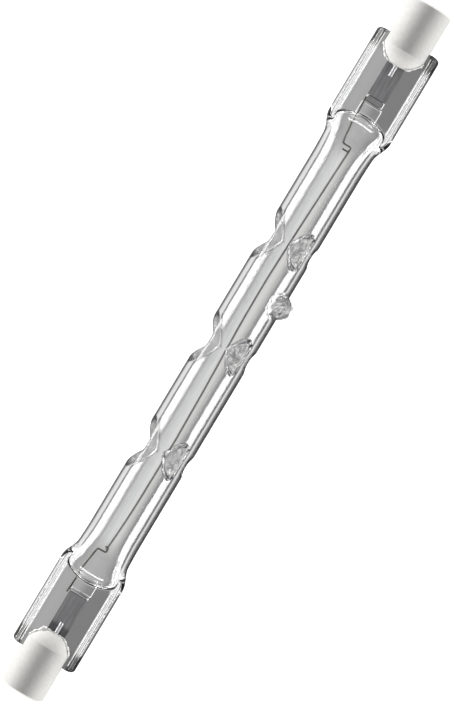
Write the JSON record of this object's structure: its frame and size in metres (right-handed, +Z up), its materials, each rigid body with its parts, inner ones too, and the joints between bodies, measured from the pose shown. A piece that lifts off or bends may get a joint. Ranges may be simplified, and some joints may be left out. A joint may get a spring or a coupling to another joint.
{
  "type": "linear halogen bulb",
  "caption": "Double-ended linear halogen bulb: clear quartz tube with pressed dents round an axial filament, flat pinched seals and white ceramic caps with recessed contacts.",
  "frame": {"origin": "on the lamp's axis, midway between the two contact faces", "axes": "+X along the lamp, +Z up and square to the flat seals, +Y across the seals on the side of the inner leads"},
  "size_m": [0.1176, 0.0106, 0.0084],
  "materials": {
    "quartz": "clear fused quartz, slightly rippled where it was pressed",
    "tungsten": "dark drawn tungsten wire",
    "molybdenum": "grey rolled molybdenum",
    "ceramic": "matt white unglazed steatite",
    "cement": "chalky white cement",
    "contact_metal": "nickel-plated contact button"
  },
  "bodies": {
    "root": {"quartz_envelope": "quartz", "filament_coil": "tungsten", "left_inner_lead": "tungsten", "right_inner_lead": "tungsten", "left_seal_foil": "molybdenum", "right_seal_foil": "molybdenum", "left_outer_lead": "molybdenum", "right_outer_lead": "molybdenum", "left_end_cap": "ceramic", "right_end_cap": "ceramic", "left_cement": "cement", "right_cement": "cement", "left_contact": "contact_metal", "right_contact": "contact_metal"}
  },
  "joints": []
}
